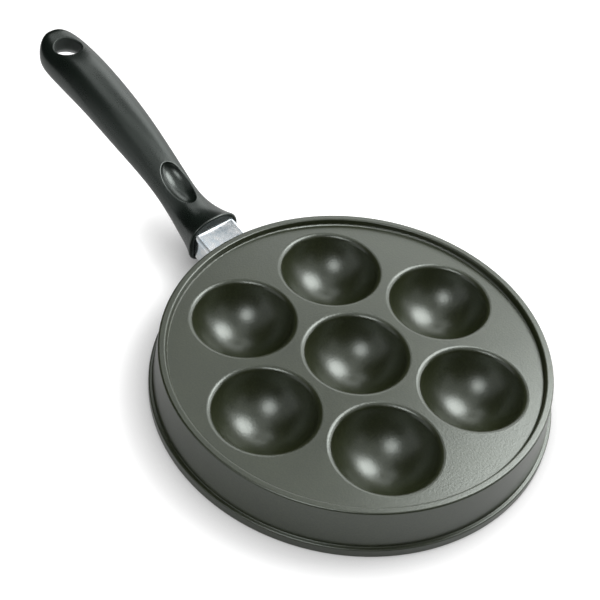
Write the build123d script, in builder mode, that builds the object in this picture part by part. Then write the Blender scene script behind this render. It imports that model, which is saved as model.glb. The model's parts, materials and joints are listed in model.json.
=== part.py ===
from build123d import *
import os
from math import cos, pi, radians, sin, sqrt

# An aebleskiver pan: a cast pan with seven round wells, a silver flame guard and a moulded grip.
# Millimetres. The origin is the centre of the pan on the plane that it stands on, +Z is up and
# +X runs along the handle.

# Wells: one in the middle and the rest in a ring, the same gap apart all round
outer_wells = 6
well_mouth_diameter = 57.9
well_gap = 9.2
well_depth = 23.5
well_wall = 3.0
well_edge_radius = 3.2
well_root_share = 0.44
pad_diameter = 18.0
pad_thickness = 3.5

# Tray, rim, skirt and foot, each outside the one before
plate_thickness = 3.0
tray_margin = 9.45
tray_depth = 3.8
tray_wall_draft = 0.5
tray_corner_radius = 0.9
rim_width = 4.2
rim_edge_radius = 1.2
skirt_draft = 2.5
skirt_thickness = 3.0
foot_flange_width = 2.3
foot_height = 5.3
foot_edge_radius = 0.8
foot_corner_radius = 0.5
underside_corner_radius = 2.0

# Flame guard
guard_width = 29.7
guard_height = 17.0
guard_corner_radius = 2.3
guard_wall = 1.2
guard_tilt = 12.7
guard_root_height = 16.3
guard_reach = 14.2
guard_skirt_gap = 0.3
guard_seat_depth = 0.5

# Lug inside the guard, with the tongue that enters the grip
lug_clearance = 0.4
lug_setback = 0.6
lug_corner_radius = 1.5
tongue_width = 20.0
tongue_length = 18.0
tongue_step = 0.2
tongue_cap = 1.5
tongue_end_radius = 1.5
socket_clearance = 0.3
mouth_clearance = 0.4

# Screw, washers and thread insert
screw_diameter = 5.0
screw_length = 12.0
screw_setback = 9.0
screw_head_diameter = 9.5
screw_head_height = 3.7
screw_head_edge_radius = 1.6
cross_slot_length = 5.2
cross_slot_width = 1.1
cross_slot_depth = 2.0
screw_hole_clearance = 0.4
screw_tip_gap = 0.6
seat_web = 2.6
seat_clearance = 0.6
insert_diameter = 7.0
insert_fit_gap = 0.02
thread_gap = 0.05
flat_washer_margin = 0.25
flat_washer_thickness = 1.0
spring_washer_inset = 0.15
spring_washer_thickness = 1.2
spring_washer_slit = 0.8
washer_bore_clearance = 0.3

# Moulded grip
grip_length = 171.2
grip_width = 34.4
grip_height = 24.0
grip_rise = 48.1
mouth_lift = 0.43
lip_side_width = 4.15
lip_top_width = 7.4
neck_width_share = 0.889
neck_height_share = 0.786
lip_edge_radius = 1.0
pocket_edge_radius = 0.3
section_points = 24

# Thumb recess in the top of the grip
recess_share = 0.2055
recess_lift = 1.08
recess_tilt = 22.0
recess_length = 31.0
recess_width = 17.0
recess_depth = 13.0
recess_edge_radius = 0.8

# Hanging hole through the end of the grip
hole_setback = 19.6
hole_diameter = 17.0
hole_tilt = 8.0
hole_wall_height = 7.3
hole_flare_radius = 12.0
hole_edge_radius = 1.0

# How far a cutting shape runs past what it cuts
overrun = 2.0

# Sizes that follow
well_mouth_radius = well_mouth_diameter / 2
well_pitch_radius = well_mouth_diameter + well_gap
plate_top = pad_thickness + well_depth
plate_underside = plate_top - plate_thickness
pan_height = plate_top + tray_depth
tray_foot_radius = well_pitch_radius + well_mouth_radius + tray_margin
tray_mouth_radius = tray_foot_radius + tray_wall_draft
rim_radius = tray_mouth_radius + rim_width
skirt_foot_radius = rim_radius + skirt_draft
foot_radius = skirt_foot_radius + foot_flange_width
skirt_slope = skirt_draft / (pan_height - foot_height)


def skirt_radius(height):
    """Outer radius of the drafted skirt at a height above the base."""
    return skirt_foot_radius - skirt_slope * (height - foot_height)


# The bowl of a well is the part of a sphere below the plate, and its outside is a larger one.
bowl_radius = (well_mouth_radius**2 + well_depth**2) / (2 * well_depth)
bowl_centre_height = pad_thickness + bowl_radius
dome_radius = bowl_radius + well_wall
dome_root_radius = sqrt(dome_radius**2 - (bowl_centre_height - plate_underside) ** 2)
well_root_radius = well_root_share * (well_pitch_radius - 2 * dome_root_radius)
well_places = [Location((0, 0, 0))]
well_places += list(PolarLocations(well_pitch_radius, outer_wells, start_angle=180 / outer_wells))

# Guard, lug and tongue share one axis, which rises from the skirt towards the grip. The guard's
# end is square to that axis, so its top reaches less far into the upright mouth than its middle.
guard_root_reach = skirt_radius(guard_root_height)
tilt_cos = cos(radians(guard_tilt))
tilt_sin = sin(radians(guard_tilt))
guard_top_lag = (guard_height / 2 + mouth_clearance) * tilt_sin
guard_length = (guard_reach + guard_top_lag + guard_seat_depth) / tilt_cos
lug_plane = Plane(
    origin=(guard_root_reach, 0, guard_root_height),
    x_dir=(0, 1, 0),
    z_dir=(tilt_cos, 0, tilt_sin),
)
lug_width = guard_width - 2 * (guard_wall + lug_clearance)
lug_height = guard_height - 2 * (guard_wall + lug_clearance)
lug_root_depth = 2 * skirt_thickness
lug_length = guard_length - lug_setback

# The tongue holds the insert and stands near the lug's top, so that the screw's head has room.
stack_height = socket_clearance + seat_web + flat_washer_thickness + spring_washer_thickness
insert_length = screw_length - stack_height + screw_tip_gap
tongue_height = insert_length + tongue_cap
tongue_rise = (lug_height - tongue_height) / 2 - tongue_step
tongue_origin = lug_plane.from_local_coords((0, tongue_rise, 0))
tongue_plane = Plane(origin=tongue_origin, x_dir=lug_plane.x_dir, z_dir=lug_plane.z_dir)
tongue_reach = guard_length + tongue_length
tongue_half_height = tongue_height / 2

# The screw stands square to the tongue and enters it from below, through the grip and washers.
screw_reach = guard_length + screw_setback
seat_drop = tongue_half_height + socket_clearance + seat_web
screw_origin = tongue_plane.from_local_coords((0, 0, screw_reach))
screw_plane = Plane(origin=screw_origin, x_dir=(0, 1, 0), z_dir=(-tilt_sin, 0, tilt_cos))
flat_washer_drop = seat_drop + flat_washer_thickness
spring_washer_drop = flat_washer_drop + spring_washer_thickness
head_drop = spring_washer_drop + screw_head_height
flat_washer_diameter = screw_head_diameter + 2 * flat_washer_margin
spring_washer_diameter = screw_head_diameter - 2 * spring_washer_inset

# The grip's mouth goes round the guard's end.
mouth_reach = guard_root_reach + guard_reach
mouth_centre_height = guard_root_height + guard_reach * tilt_sin / tilt_cos + mouth_lift
mouth_width = guard_width + 2 * lip_side_width
mouth_height = guard_height + 2 * lip_top_width
neck_width = neck_width_share * mouth_width
neck_height = neck_height_share * mouth_height

# Envelope of the skirt, used to shape what stands against it
with BuildPart() as skirt_envelope:
    with BuildSketch(Plane.XZ):
        with BuildLine():
            Polyline(
                (0, -overrun),
                (skirt_radius(-overrun) + guard_skirt_gap, -overrun),
                (skirt_radius(pan_height + overrun) + guard_skirt_gap, pan_height + overrun),
                (0, pan_height + overrun),
                close=True,
            )
        make_face()
    revolve(axis=Axis.Z)

# Outside of one well, from inside the plate down to its flat heat pad
dome_top_height = (plate_top + plate_underside) / 2
dome_top_radius = sqrt(dome_radius**2 - (bowl_centre_height - dome_top_height) ** 2)
pad_radius = pad_diameter / 2
pad_height = bowl_centre_height - sqrt(dome_radius**2 - pad_radius**2)
dome_side = dome_radius * sin(pi / 4)
with BuildPart() as well_dome:
    with BuildSketch(Plane.XZ):
        with BuildLine():
            Polyline((pad_radius, pad_height), (pad_radius, 0), (0, 0), (0, dome_top_height))
            Line((0, dome_top_height), (dome_top_radius, dome_top_height))
            ThreePointArc(
                (dome_top_radius, dome_top_height),
                (dome_side, bowl_centre_height - dome_side),
                (pad_radius, pad_height),
            )
        make_face()
    revolve(axis=Axis.Z)

# Pan body: tray, rim, skirt, foot flange, lug and wells in one casting
with BuildPart() as pan_body:
    with BuildSketch(Plane.XZ):
        with BuildLine():
            FilletPolyline(
                (0, plate_top),
                (tray_foot_radius, plate_top),
                (tray_mouth_radius, pan_height),
                (rim_radius, pan_height),
                (skirt_foot_radius, foot_height),
                (foot_radius, foot_height),
                (foot_radius, 0),
                (0, 0),
                radius=[
                    tray_corner_radius,
                    rim_edge_radius,
                    rim_edge_radius,
                    foot_corner_radius,
                    foot_edge_radius,
                    0,
                ],
            )
            Line((0, 0), (0, plate_top))
        make_face()
    revolve(axis=Axis.Z)
    with BuildSketch(lug_plane.offset(-lug_root_depth)):
        RectangleRounded(lug_width, lug_height, lug_corner_radius)
    extrude(amount=lug_root_depth + lug_length)
    with BuildSketch(tongue_plane):
        RectangleRounded(tongue_width, tongue_height, lug_corner_radius)
    extrude(amount=tongue_reach)
    tongue_end = pan_body.faces().sort_by(Axis.X)[-1]
    fillet(tongue_end.edges(), radius=tongue_end_radius)
    with BuildSketch(Plane.XZ):
        with BuildLine():
            FilletPolyline(
                (0, plate_underside),
                (skirt_radius(plate_underside) - skirt_thickness, plate_underside),
                (skirt_radius(-overrun) - skirt_thickness, -overrun),
                (0, -overrun),
                radius=[underside_corner_radius, 0],
            )
            Line((0, -overrun), (0, plate_underside))
        make_face()
    revolve(axis=Axis.Z, mode=Mode.SUBTRACT)
    with Locations(*well_places):
        add(well_dome.part)
    root_edges = pan_body.edges().filter_by(GeomType.CIRCLE).filter_by_position(
        Axis.Z, plate_underside - overrun / 2, plate_underside + overrun / 2
    )
    dome_edges = root_edges.filter_by(lambda edge: abs(edge.radius - dome_root_radius) < well_wall / 2)
    fillet(dome_edges, radius=well_root_radius)
    with Locations(*well_places):
        with Locations((0, 0, bowl_centre_height)):
            Sphere(radius=bowl_radius, mode=Mode.SUBTRACT)
    mouth_edges = pan_body.edges().filter_by(GeomType.CIRCLE).filter_by_position(
        Axis.Z, plate_top - overrun / 2, plate_top + overrun / 2
    )
    well_edges = mouth_edges.filter_by(lambda edge: abs(edge.radius - well_mouth_radius) < well_edge_radius)
    fillet(well_edges, radius=well_edge_radius)
    with BuildSketch(screw_plane.offset(-tongue_half_height - overrun)):
        Circle(insert_diameter / 2 + insert_fit_gap)
    extrude(amount=overrun + insert_length, mode=Mode.SUBTRACT)
pan_body.part.label = "pan_body"

# Flame guard: a drawn sleeve from the skirt into the grip's mouth
with BuildPart() as flame_guard:
    with BuildSketch(lug_plane.offset(-lug_root_depth)):
        RectangleRounded(guard_width, guard_height, guard_corner_radius)
        RectangleRounded(
            guard_width - 2 * guard_wall,
            guard_height - 2 * guard_wall,
            guard_corner_radius - guard_wall,
            mode=Mode.SUBTRACT,
        )
    extrude(amount=lug_root_depth + guard_length)
    add(skirt_envelope.part, mode=Mode.SUBTRACT)
flame_guard.part.label = "flame_guard"

# Threaded bush in the underside of the tongue
with BuildPart() as thread_insert:
    with BuildSketch(screw_plane.offset(-tongue_half_height)):
        Circle(insert_diameter / 2)
        Circle(screw_diameter / 2 + thread_gap, mode=Mode.SUBTRACT)
    extrude(amount=insert_length)
thread_insert.part.label = "thread_insert"

# Grip stations from the mouth to the tail. Each row gives how far along the grip it is, how high
# its widest line is, its width and its heights above and below that line, as shares of the grip's
# length, rise, width and height, and then how square its section is above and below the line.
mouth_share = mouth_height / 2 / grip_height
neck_share = neck_height / 2 / grip_height
station_shares = [
    (0.000, 0.000, mouth_width / grip_width, mouth_share, mouth_share, 2.40, 3.00),
    (0.037, 0.030, neck_width / grip_width, neck_share, neck_share, 2.30, 2.70),
    (0.093, 0.037, 0.841, 0.475, 0.475, 2.30, 2.30),
    (0.160, 0.102, 0.724, 0.432, 0.432, 2.30, 2.30),
    (0.245, 0.247, 0.706, 0.407, 0.407, 2.30, 2.30),
    (0.356, 0.414, 0.776, 0.415, 0.415, 2.30, 2.30),
    (0.496, 0.580, 0.882, 0.449, 0.449, 2.30, 2.30),
    (0.664, 0.737, 0.948, 0.475, 0.475, 2.30, 2.30),
    (0.804, 0.796, 0.971, 0.558, 0.408, 2.50, 2.30),
    (0.899, 0.827, 0.959, 0.525, 0.313, 2.74, 2.30),
]
tail_shares = [0.5, 0.8, 0.95, 0.99]
tail_width_power = 2.1
tail_height_power = 2.7


def section_outline(width, above, below, top_squareness, bottom_squareness):
    """Points of a rounded section, where a squareness of 2 is an ellipse and more is boxier."""
    points = []
    for index in range(section_points):
        angle = 2 * pi * index / section_points
        height = above if sin(angle) >= 0 else -below
        squareness = top_squareness if sin(angle) >= 0 else bottom_squareness
        across = abs(cos(angle)) ** (2 / squareness) * (1 if cos(angle) >= 0 else -1)
        points.append((width / 2 * across, height * abs(sin(angle)) ** (2 / squareness)))
    return points


last_along, last_rise, last_width, last_above, last_below, *last_squareness = station_shares[-1]
grip_stations = list(station_shares)
for share in tail_shares:
    narrowing = (1 - share**tail_width_power) ** (1 / tail_width_power)
    thinning = (1 - share**tail_height_power) ** (1 / tail_height_power)
    grip_stations.append(
        (
            last_along + (1 - last_along) * share,
            last_rise + (1 - last_rise) * share**2,
            last_width * narrowing,
            last_above * thinning,
            last_below * thinning,
            *last_squareness,
        )
    )

# The thumb recess is centred a little above the straight line between the tops of two stations.
before = [row for row in station_shares if row[0] <= recess_share][-1]
after = [row for row in station_shares if row[0] > recess_share][0]
step_share = (recess_share - before[0]) / (after[0] - before[0])
recess_rise = before[1] + (after[1] - before[1]) * step_share
recess_above = before[3] + (after[3] - before[3]) * step_share
recess_top = mouth_centre_height + grip_rise * recess_rise + grip_height * recess_above
recess_centre = (mouth_reach + grip_length * recess_share, 0, recess_top + recess_lift)
with BuildPart() as recess_shape:
    Sphere(radius=recess_length / 2)
    scale(by=(1, recess_width / recess_length, recess_depth / recess_length))

# The hanging hole starts level with the tail's top and flares out on its way down. It leans so
# that its lower end lies towards the tail.
hole_reach = mouth_reach + grip_length - hole_setback
hole_top = mouth_centre_height + grip_rise * last_rise + grip_height * last_above
hole_radius = hole_diameter / 2
flare_outer_radius = hole_radius + hole_flare_radius
flare_side = hole_flare_radius * (1 - sin(pi / 4))
flare_drop = hole_wall_height + hole_flare_radius
with BuildPart() as hole_shape:
    with BuildSketch(Plane.XZ):
        with BuildLine():
            Polyline((0, grip_height), (hole_radius, grip_height), (hole_radius, -hole_wall_height))
            ThreePointArc(
                (hole_radius, -hole_wall_height),
                (hole_radius + flare_side, flare_side - flare_drop),
                (flare_outer_radius, -flare_drop),
            )
            Polyline(
                (flare_outer_radius, -flare_drop),
                (flare_outer_radius, -2 * grip_height),
                (0, -2 * grip_height),
                (0, grip_height),
            )
        make_face()
    revolve(axis=Axis.Z)

# Moulded grip
with BuildPart() as handle_grip:
    for along, rise, width, above, below, *squareness in grip_stations:
        station_centre = (mouth_reach + grip_length * along, 0, mouth_centre_height + grip_rise * rise)
        outline = section_outline(
            grip_width * width, grip_height * above, grip_height * below, *squareness
        )
        with BuildSketch(Plane(origin=station_centre, x_dir=(0, 1, 0), z_dir=(1, 0, 0))):
            with BuildLine():
                Spline(*outline, periodic=True)
            make_face()
    loft()
    mouth_face = handle_grip.faces().filter_by(Axis.X).sort_by(Axis.X)[0]
    fillet(mouth_face.edges(), radius=lip_edge_radius)
    # The guard's end stands in the mouth, with the tongue's socket behind it.
    with BuildSketch(lug_plane):
        RectangleRounded(
            guard_width + 2 * mouth_clearance,
            guard_height + 2 * mouth_clearance,
            guard_corner_radius + mouth_clearance,
        )
    extrude(amount=guard_length, mode=Mode.SUBTRACT)
    mouth_face = handle_grip.faces().filter_by(Axis.X).sort_by(Axis.X)[0]
    fillet(mouth_face.inner_wires()[0].edges(), radius=pocket_edge_radius)
    with BuildSketch(tongue_plane):
        RectangleRounded(
            tongue_width + 2 * socket_clearance,
            tongue_height + 2 * socket_clearance,
            lug_corner_radius + socket_clearance,
        )
    extrude(amount=tongue_reach + socket_clearance, mode=Mode.SUBTRACT)
    with BuildSketch(screw_plane.offset(-seat_drop - overrun)):
        Circle(screw_diameter / 2 + screw_hole_clearance)
    extrude(amount=seat_web + 2 * overrun, mode=Mode.SUBTRACT)
    with BuildSketch(screw_plane.offset(-seat_drop)):
        Circle(flat_washer_diameter / 2 + seat_clearance)
    extrude(amount=-grip_height, mode=Mode.SUBTRACT)
    with Locations(Location(recess_centre, (0, -recess_tilt, 0))):
        add(recess_shape.part, mode=Mode.SUBTRACT)
    recess_rim = handle_grip.edges(Select.LAST).sort_by(SortBy.LENGTH)[-1]
    fillet(recess_rim, radius=recess_edge_radius)
    with Locations(Location((hole_reach, 0, hole_top), (0, -hole_tilt, 0))):
        add(hole_shape.part, mode=Mode.SUBTRACT)
    hole_rim = handle_grip.edges(Select.LAST).sort_by(Axis.Z)[-1]
    fillet(hole_rim, radius=hole_edge_radius)
handle_grip.part.label = "handle_grip"

# Washers under the head of the screw
with BuildPart() as flat_washer:
    with BuildSketch(screw_plane.offset(-flat_washer_drop)):
        Circle(flat_washer_diameter / 2)
        Circle(screw_diameter / 2 + washer_bore_clearance, mode=Mode.SUBTRACT)
    extrude(amount=flat_washer_thickness)
flat_washer.part.label = "flat_washer"

with BuildPart() as spring_washer:
    with BuildSketch(screw_plane.offset(-spring_washer_drop)):
        Circle(spring_washer_diameter / 2)
        Circle(screw_diameter / 2 + washer_bore_clearance, mode=Mode.SUBTRACT)
        with Locations((spring_washer_diameter / 2, 0)):
            Rectangle(spring_washer_diameter, spring_washer_slit, mode=Mode.SUBTRACT)
    extrude(amount=spring_washer_thickness)
spring_washer.part.label = "spring_washer"

# Pan head screw with a cross recess
with BuildPart() as handle_screw:
    with BuildSketch(screw_plane.offset(-head_drop)):
        Circle(screw_head_diameter / 2)
    extrude(amount=screw_head_height)
    head_edges = handle_screw.edges().filter_by(GeomType.CIRCLE).sort_by(Axis.Z)[0]
    fillet(head_edges, radius=screw_head_edge_radius)
    with BuildSketch(screw_plane.offset(-spring_washer_drop)):
        Circle(screw_diameter / 2)
    extrude(amount=screw_length)
    with BuildSketch(screw_plane.offset(-head_drop)):
        Rectangle(cross_slot_length, cross_slot_width)
        Rectangle(cross_slot_width, cross_slot_length)
    extrude(amount=cross_slot_depth, mode=Mode.SUBTRACT)
handle_screw.part.label = "handle_screw"

os.makedirs("parts", exist_ok=True)
export_step(pan_body.part, "parts/pan_body.step")
export_step(flame_guard.part, "parts/flame_guard.step")
export_step(thread_insert.part, "parts/thread_insert.step")
export_step(handle_grip.part, "parts/handle_grip.step")
export_step(flat_washer.part, "parts/flat_washer.step")
export_step(spring_washer.part, "parts/spring_washer.step")
export_step(handle_screw.part, "parts/handle_screw.step")
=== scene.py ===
import json
import math

import bpy
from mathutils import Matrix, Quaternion, Vector

# Aebleskiver pan: finishes, camera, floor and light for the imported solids, in metres and degrees
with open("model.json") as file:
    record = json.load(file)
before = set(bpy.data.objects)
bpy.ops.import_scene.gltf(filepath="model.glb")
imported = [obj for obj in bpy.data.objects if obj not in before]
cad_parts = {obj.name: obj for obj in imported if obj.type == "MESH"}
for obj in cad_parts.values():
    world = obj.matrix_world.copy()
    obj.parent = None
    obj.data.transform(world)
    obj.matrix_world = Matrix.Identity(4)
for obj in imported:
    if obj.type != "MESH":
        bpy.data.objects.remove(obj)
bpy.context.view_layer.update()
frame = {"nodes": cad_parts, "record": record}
bpy.ops.object.select_all(action="DESELECT")
nodes = frame["nodes"]
mounts = {mount["name"]: mount for mount in frame["record"]["mounts"]}
millimetre = 0.001
black = (0.0, 0.0, 0.0, 1.0)
white = (1.0, 1.0, 1.0, 1.0)


class Value:
    """A number, colour or place in a shader. Sums on numbers become Math nodes."""

    def __init__(self, finish, socket):
        self.finish = finish
        self.socket = socket

    def maths(self, operation, left, right):
        return self.finish.node("ShaderNodeMath", {"operation": operation}, {0: left, 1: right})

    def __add__(self, other):
        return self.maths("ADD", self, other)

    def __radd__(self, other):
        return self.maths("ADD", other, self)

    def __rsub__(self, other):
        return self.maths("SUBTRACT", other, self)

    def __mul__(self, other):
        return self.maths("MULTIPLY", self, other)

    def __rmul__(self, other):
        return self.maths("MULTIPLY", other, self)


class Finish:
    """A material that is built up from its principled shader."""

    def __init__(self, name):
        self.material = bpy.data.materials.new(name)
        self.material.use_nodes = True
        self.tree = self.material.node_tree
        self.shader = self.tree.nodes["Principled BSDF"]
        self.coordinates = self.tree.nodes.new("ShaderNodeTexCoord").outputs["Object"]

    def node(self, kind, settings, inputs, output=0):
        """Adds a node, sets it, feeds its sockets with numbers or values, and gives one output."""
        made = self.tree.nodes.new(kind)
        for name, setting in settings.items():
            setattr(made, name, setting)
        for socket, given in inputs.items():
            self.feed(made.inputs[socket], given)
        return Value(self, made.outputs[output])

    def feed(self, socket, given):
        if isinstance(given, Value):
            self.tree.links.new(given.socket, socket)
        else:
            socket.default_value = given

    def place(self):
        return Value(self, self.coordinates)

    def noise(self, scale, detail=2.0):
        """Soft noise from 0 to 1, with so many features to the metre."""
        inputs = {"Vector": self.place(), "Scale": scale, "Detail": detail}
        return self.node("ShaderNodeTexNoise", {}, inputs)

    def stretch(self, value, low, high):
        """Spreads what lies between low and high over 0 to 1."""
        inputs = {"Value": value, "From Min": low, "From Max": high}
        return self.node("ShaderNodeMapRange", {}, inputs)

    def blend(self, share, first, second):
        """Mixes two colours. They are the Mix node's inputs 6 and 7, and its output 2 is a colour."""
        inputs = {"Factor": share, 6: first, 7: second}
        return self.node("ShaderNodeMix", {"data_type": "RGBA"}, inputs, output=2)

    def bump(self, height, depth):
        """Tilts the surface by a height from 0 to 1 that stands for so many metres."""
        inputs = {"Height": height, "Distance": depth, "Strength": 1.0}
        return self.node("ShaderNodeBump", {}, inputs)

    def vector_maths(self, operation, inputs, output="Vector"):
        return self.node("ShaderNodeVectorMath", {"operation": operation}, inputs, output)

    def off_axis(self, middle, axis):
        """The distance from a line through a middle along an axis of length 1."""
        offset = self.vector_maths("SUBTRACT", {0: self.place(), 1: middle})
        sideways = self.vector_maths("CROSS_PRODUCT", {0: offset, 1: axis})
        return self.vector_maths("LENGTH", {0: sideways}, output="Value")

    def ray(self, kind):
        """1 where the shader is asked by a ray of one kind, and 0 elsewhere."""
        return self.node("ShaderNodeLightPath", {}, {}, kind)

    def set(self, **inputs):
        """Sets the shader's own sockets, named with underscores for spaces, and gives the material."""
        for name, given in inputs.items():
            self.feed(self.shader.inputs[name.replace("_", " ")], given)
        return self.material


# Finishes
def make_coat():
    """Dark olive non-stick coat with a satin sheen and a fine grain, sprayed on cast metal."""
    dark_olive = (0.006, 0.008, 0.001, 1.0)
    pale_olive = (0.028, 0.034, 0.012, 1.0)
    green_sheen = (0.93, 1.0, 0.95, 1.0)
    speckle_share = 0.75
    satin = 0.25
    grain_depth = 0.06 * millimetre
    coat = Finish("nonstick_coat")
    speckle = coat.noise(scale=1000.0)
    mottle = coat.noise(scale=60.0)
    grain = coat.noise(scale=900.0, detail=3.0)
    mixed = speckle_share * speckle + (1 - speckle_share) * mottle
    shade = coat.stretch(mixed, low=0.25, high=0.75)
    return coat.set(
        Base_Color=coat.blend(shade, dark_olive, pale_olive),
        IOR=1.55,
        Specular_IOR_Level=1.0,
        Specular_Tint=green_sheen,
        Roughness=satin + 0.06 * speckle + 0.04 * mottle,
        Normal=coat.bump(grain, grain_depth),
    )


def make_bright_metal():
    """Bright drawn aluminium of the flame guard, smudged by hands."""
    cool_metal = (0.70, 0.80, 0.87, 1.0)
    pale_smudge = (0.96, 0.98, 0.98, 1.0)
    polish = 0.12
    bright = Finish("bright_aluminium")
    smudge = bright.stretch(bright.noise(scale=240.0, detail=4.0), low=0.30, high=0.70)
    return bright.set(
        Base_Color=bright.blend(smudge, cool_metal, pale_smudge),
        Metallic=1.0,
        Roughness=polish + 0.10 * smudge,
    )


def make_phenolic(hole):
    """Black moulded phenolic with a satin skin that turns matte on the wall of the hanging hole."""
    deep_black = (0.002, 0.005, 0.003, 1.0)
    soft_black = (0.006, 0.010, 0.007, 1.0)
    green_sheen = (0.92, 1.0, 0.96, 1.0)
    satin = 0.24
    grain_depth = 0.005 * millimetre
    hole_radius = hole["dims"]["r_mm"] * millimetre
    matte_edge = hole_radius + 0.2 * millimetre
    satin_edge = hole_radius + 0.9 * millimetre
    moulding = Finish("black_phenolic")
    grain = moulding.noise(scale=1800.0)
    bloom = moulding.noise(scale=70.0)
    distance = moulding.off_axis(hole["pos_m"], hole["axis"])
    matte = 1.0 - moulding.stretch(distance, low=matte_edge, high=satin_edge)
    return moulding.set(
        Base_Color=moulding.blend(bloom, deep_black, soft_black),
        Specular_IOR_Level=0.9,
        Specular_Tint=green_sheen,
        Roughness=satin + 0.04 * grain + 0.04 * bloom + 0.45 * matte,
        Normal=moulding.bump(grain, grain_depth),
    )


def make_zinc():
    """Zinc plate on the screw, its washers and the threaded bush."""
    zinc_grey = (0.55, 0.56, 0.58, 1.0)
    zinc = Finish("zinc_plate")
    spangle = zinc.noise(scale=700.0)
    return zinc.set(
        Base_Color=zinc_grey,
        Metallic=1.0,
        Roughness=0.28 + 0.14 * spangle,
    )


def dress(node, material):
    """Gives a solid of the frame its finish."""
    piece = nodes[node]
    piece.data.materials.clear()
    piece.data.materials.append(material)


dress("pan_body", make_coat())
dress("flame_guard", make_bright_metal())
dress("handle_grip", make_phenolic(mounts["hanging_hole"]))
zinc = make_zinc()
for fastener in ("thread_insert", "handle_screw", "spring_washer", "flat_washer"):
    dress(fastener, zinc)


# Camera, at the photograph's angle, with its lens in millimetres
camera_place = Vector((-0.28895, 0.36401, 0.53189))
camera_aim = Vector((0.06744, -0.02127, 0.0))
camera_roll = 7.69
camera_lens = 73.7
bpy.ops.object.camera_add(location=camera_place)
camera = bpy.context.object
camera.data.lens = camera_lens
level = (camera_aim - camera_place).to_track_quat("-Z", "Y")
camera.rotation_mode = "QUATERNION"
camera.rotation_quaternion = level @ Quaternion((0, 0, 1), math.radians(camera_roll))
bpy.context.scene.camera = camera


# Floor and light
def add_floor():
    """A pale floor that looks white from the camera, with the pan's shadow partly real shade from the
    lamps and partly painted shadow in its glow.
    """
    half_width = 4.0
    gap_under_pan = 0.2 * millimetre
    shadow_reach = 30 * millimetre
    paper_grey = (0.50, 0.50, 0.50, 1.0)
    glow_seen = 0.86
    glow_mirrored = 0.28
    bpy.ops.mesh.primitive_plane_add(size=2 * half_width, location=(0.0, 0.0, -gap_under_pan))
    floor = bpy.context.object
    floor.name = "floor"
    paper = Finish("floor_paper")
    seen = paper.ray("Is Camera Ray")
    mirrored = paper.ray("Is Glossy Ray") + paper.ray("Is Transmission Ray")
    near = {"Distance": shadow_reach}
    # Painted shadow: ambient occlusion within shadow_reach darkens the floor's glow near the pan,
    # twice over for camera rays and once for mirrored rays.
    painted_shadow_openness = paper.node("ShaderNodeAmbientOcclusion", {"samples": 16}, near, "AO")
    glow_with_painted_shadow = painted_shadow_openness * (glow_seen * (seen * painted_shadow_openness) + glow_mirrored * mirrored)
    paper.set(
        Base_Color=paper_grey,
        Roughness=0.9,
        Specular_IOR_Level=0.0,
        Emission_Color=paper.blend(glow_with_painted_shadow, black, white),
        Emission_Strength=1.0,
    )
    floor.data.materials.append(paper.material)


def light_the_world():
    """Faint even studio light, with a white backdrop where the camera looks past the floor."""
    even_strength = 0.03
    backdrop_strength = 1.0
    world = bpy.data.worlds.new("studio")
    bpy.context.scene.world = world
    world.use_nodes = True
    tree = world.node_tree
    tree.nodes.clear()
    path = tree.nodes.new("ShaderNodeLightPath")
    mix = tree.nodes.new("ShaderNodeMixShader")
    output = tree.nodes.new("ShaderNodeOutputWorld")
    tree.links.new(path.outputs["Is Camera Ray"], mix.inputs["Fac"])
    for socket, strength in zip(mix.inputs[1:], (even_strength, backdrop_strength)):
        background = tree.nodes.new("ShaderNodeBackground")
        background.inputs["Color"].default_value = white
        background.inputs["Strength"].default_value = strength
        tree.links.new(background.outputs["Background"], socket)
    tree.links.new(mix.outputs["Shader"], output.inputs["Surface"])


def add_lamp(name, azimuth, elevation, distance, width, height, power):
    """A flat soft lamp that shines at the pan's middle, round where its height is its width."""
    lamp_aim = Vector((0.0, 0.0, 0.02))
    turn = math.radians(azimuth)
    lift = math.radians(elevation)
    away = Vector((math.cos(lift) * math.cos(turn), math.cos(lift) * math.sin(turn), math.sin(lift)))
    place = distance * away
    bpy.ops.object.light_add(type="AREA", location=place)
    lamp = bpy.context.object
    lamp.name = name
    lamp.data.shape = "ELLIPSE" if width == height else "RECTANGLE"
    lamp.data.size = width
    lamp.data.size_y = height
    lamp.data.energy = power
    lamp.rotation_mode = "QUATERNION"
    lamp.rotation_quaternion = (lamp_aim - place).to_track_quat("-Z", "Y")


add_floor()
light_the_world()
# Elevation, distance, width and height of the dim panels' three rows
panel_distance = 1.2
low_row = (12.5, panel_distance, 0.97, 0.45)
middle_row = (34.5, panel_distance, 0.82, 0.49)
high_row = (58.0, panel_distance, 0.73, 0.51)
lamps = (
    # name, azimuth, elevation, distance, width, height, power in watts
    ("key_lamp", -101.0, 52.5, 0.66, 0.40, 0.40, 2.8),
    ("front_lamp", 114.0, 57.0, 0.64, 0.28, 0.28, 1.0),
    ("far_low_left", -60.0, *low_row, 1.6),
    ("far_low_right", -105.0, *low_row, 3.8),
    ("far_mid_left", -60.0, *middle_row, 2.6),
    ("far_mid_right", -105.0, *middle_row, 2.0),
    ("far_high", -47.0, 63.0, panel_distance, 0.73, 0.25, 0.62),
    ("left_side", -27.0, 50.0, panel_distance, 0.36, 0.25, 0.32),
    ("right_mid", -150.0, *middle_row, 0.6),
    ("right_high", -165.0, *high_row, 0.55),
    ("near_low", 75.0, *low_row, 0.8),
    ("near_mid", 75.0, *middle_row, 0.5),
    ("near_high", 75.0, *high_row, 0.3),
    ("near_high_right", 135.0, *high_row, 0.3),
    ("overhead", 0.0, 89.0, panel_distance, 0.75, 0.75, 0.9),
)
for lamp in lamps:
    add_lamp(*lamp)
bpy.context.scene.view_settings.view_transform = "Standard"
